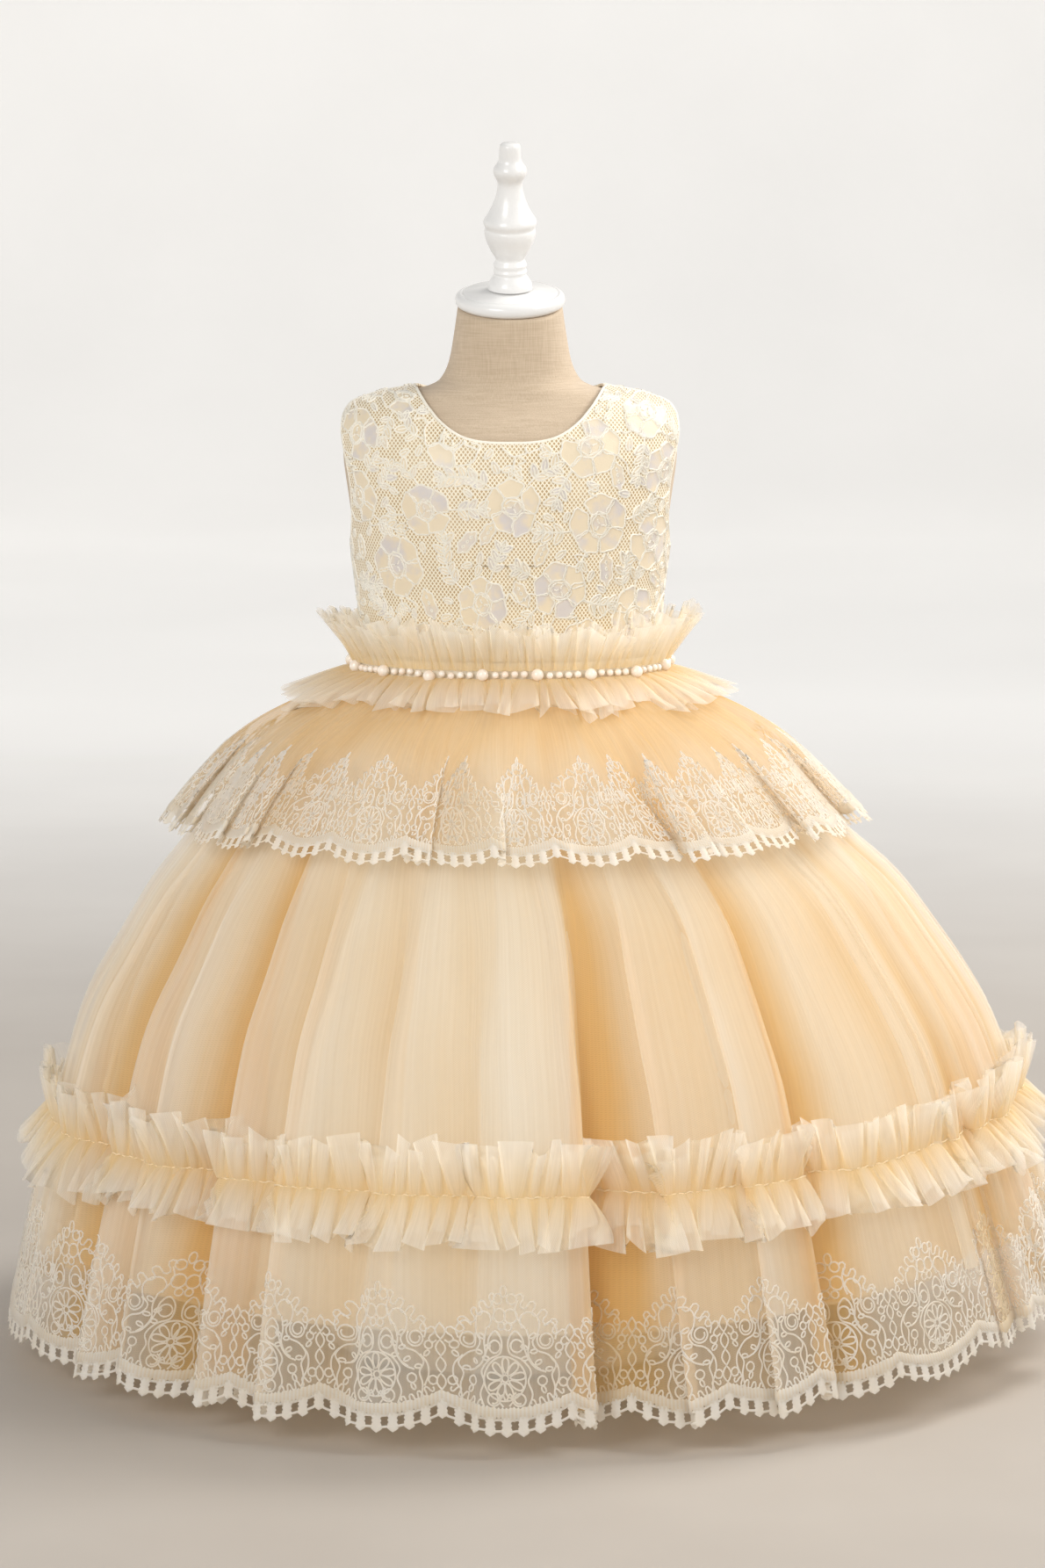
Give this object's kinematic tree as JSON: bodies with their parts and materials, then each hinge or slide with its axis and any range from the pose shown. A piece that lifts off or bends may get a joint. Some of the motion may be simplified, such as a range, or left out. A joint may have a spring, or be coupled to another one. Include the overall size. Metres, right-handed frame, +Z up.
{
  "type": "child's tiered party dress on a limbless dress form",
  "caption": "Sleeveless lace bodice, gathered tulle frills, lace peplum and full tiered tulle skirt over a lining, worn by a limbless child dress form on a round foot.",
  "frame": {"origin": "centre of the stand's foot, on the surface it stands on", "axes": "+Z up, the dress's front faces -Y, +X is the wearer's left"},
  "size_m": [0.6794, 0.6187, 0.7448],
  "materials": {
    "linen": "natural linen, stretched over the form",
    "white_paint": "turned wood in slightly chipped white gloss paint",
    "steel": "satin tube",
    "corded_lace": "corded floral lace over cream satin",
    "tulle": "soft butter-cream tulle",
    "border_lace": "white corded lace on tulle with a scalloped ladder edging",
    "lining": "opaque satin lining",
    "pearl": "pearl lustre",
    "zip": "cream zip"
  },
  "bodies": {
    "root": {"form_torso": "linen", "form_neck_cap": "white_paint", "form_finial": "white_paint", "form_pole": "steel", "form_foot": "white_paint", "bodice_front": "corded_lace", "bodice_back_left": "corded_lace", "bodice_back_right": "corded_lace", "back_zip": "zip", "zip_slider": "zip", "waist_band": "lining", "pearl_strand": "pearl", "waist_frill_upper": "tulle", "waist_frill_lower": "tulle", "peplum": "border_lace", "overskirt_front": "tulle", "overskirt_back": "tulle", "skirt_frill_upper": "tulle", "skirt_frill_lower": "tulle", "underskirt": "lining"},
    "pull": {"zip_pull": "zip"}
  },
  "joints": [
    {"name": "zip_pull_hinge", "type": "hinge", "parent": "root", "child": "pull", "pos_m": [0, 0.07627, 0.57642], "axis": [1, 0, 0], "range_deg": [0, 150]}
  ]
}
